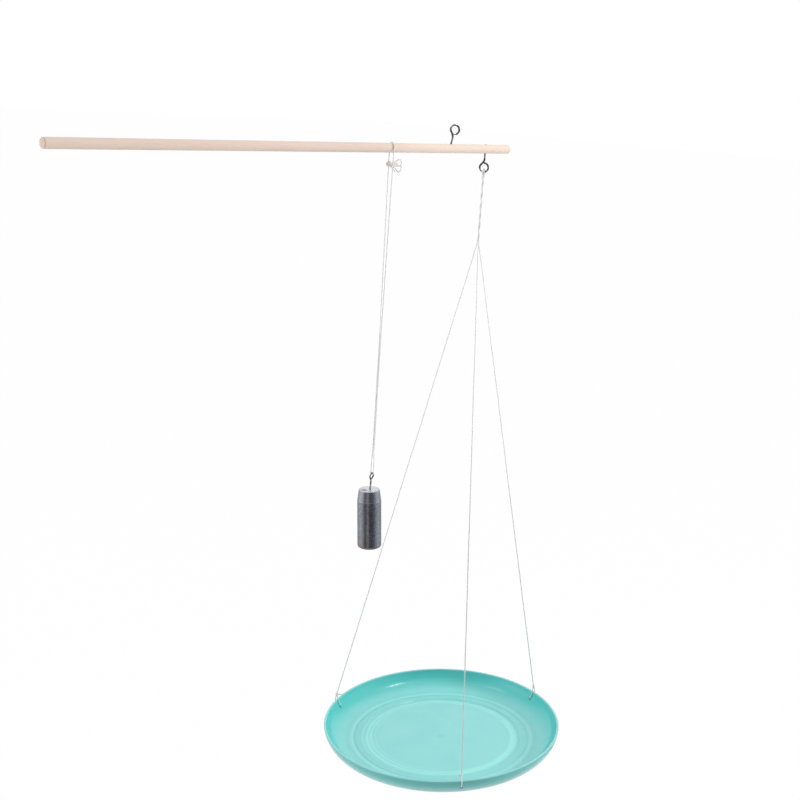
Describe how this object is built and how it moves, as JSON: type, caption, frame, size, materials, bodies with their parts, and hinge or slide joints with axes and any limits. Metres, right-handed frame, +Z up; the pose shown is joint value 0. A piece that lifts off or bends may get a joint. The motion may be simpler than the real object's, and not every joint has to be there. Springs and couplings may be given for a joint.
{
  "type": "steelyard balance",
  "caption": "Toy steelyard: a wooden beam hung from a screw eye, a shallow dish on cords, and a steel weight on a cord that slides along the beam.",
  "frame": {"origin": "centre of the fulcrum eye's ring, from which the steelyard hangs", "axes": "+X along the level beam to its short end, +Z up, +Y across the beam"},
  "size_m": [0.3543, 0.1478, 0.3853],
  "materials": {
    "wood": "bare sanded birch, pale with a faint pink cast",
    "plated_wire": "plated steel wire, glossy with dark reflections",
    "steel": "turned steel, burnished and faintly mottled, brighter top face",
    "cotton_cord": "off-white twisted cotton string",
    "dish_plastic": "semi-gloss moulded plastic, pale sea green"
  },
  "bodies": {
    "beam": {"beam": "wood", "fulcrum_eye": "plated_wire", "pan_eye": "plated_wire"},
    "load_slider": {"load_cord_saddle": "cotton_cord"},
    "load_cord": {"load_cord_front": "cotton_cord", "load_cord_back_upper": "cotton_cord", "load_knot": "cotton_cord", "bow_loop_upper": "cotton_cord", "bow_loop_lower": "cotton_cord", "bow_tail_upper": "cotton_cord", "bow_tail_lower": "cotton_cord", "load_cord_back_lower": "cotton_cord", "load_cord_bight": "cotton_cord"},
    "load": {"weight_eye": "plated_wire", "weight_body": "steel"},
    "pan_hanger": {"pan_ring_loop": "cotton_cord", "pan_ring_knot": "cotton_cord"},
    "pan_yoke": {"pan_cord_bundle": "cotton_cord", "pan_gather_knot": "cotton_cord"},
    "pan": {"pan_dish": "dish_plastic", "pan_cord_left": "cotton_cord", "rim_knot_left": "cotton_cord", "rim_loop_left": "cotton_cord", "pan_cord_right": "cotton_cord", "rim_knot_right": "cotton_cord", "rim_loop_right": "cotton_cord", "pan_cord_front": "cotton_cord", "rim_knot_front": "cotton_cord", "rim_loop_front": "cotton_cord", "rim_tail_left": "cotton_cord", "rim_tail_front": "cotton_cord"}
  },
  "joints": [
    {"name": "weight_slide", "type": "slide", "parent": "beam", "child": "load_slider", "axis": [1, 0, 0], "range_m": [-0.195, 0.04]},
    {"name": "load_swing", "type": "hinge", "parent": "load_slider", "child": "load_cord", "pos_m": [-0.04855, 0, -0.0103], "axis": [0, 1, 0], "range_deg": [-20, 25]},
    {"name": "load_rock", "type": "hinge", "parent": "load_cord", "child": "load", "pos_m": [-0.04855, 0, -0.1888], "axis": [0.9659, 0.2588, 0], "range_deg": [-30, 30]},
    {"name": "pan_loop_swing", "type": "hinge", "parent": "beam", "child": "pan_hanger", "pos_m": [0.02685, 0, -0.0231], "axis": [0.4384, -0.8988, 0], "range_deg": [-15, 30]},
    {"name": "pan_yoke_swing", "type": "hinge", "parent": "pan_hanger", "child": "pan_yoke", "pos_m": [0.02685, 0, -0.0264], "axis": [0.8988, 0.4384, 0], "range_deg": [-30, 30]},
    {"name": "pan_twist", "type": "hinge", "parent": "pan_yoke", "child": "pan", "pos_m": [0.02685, 0, -0.0631], "axis": [0, 0, 1], "range_deg": [-90, 90]}
  ]
}
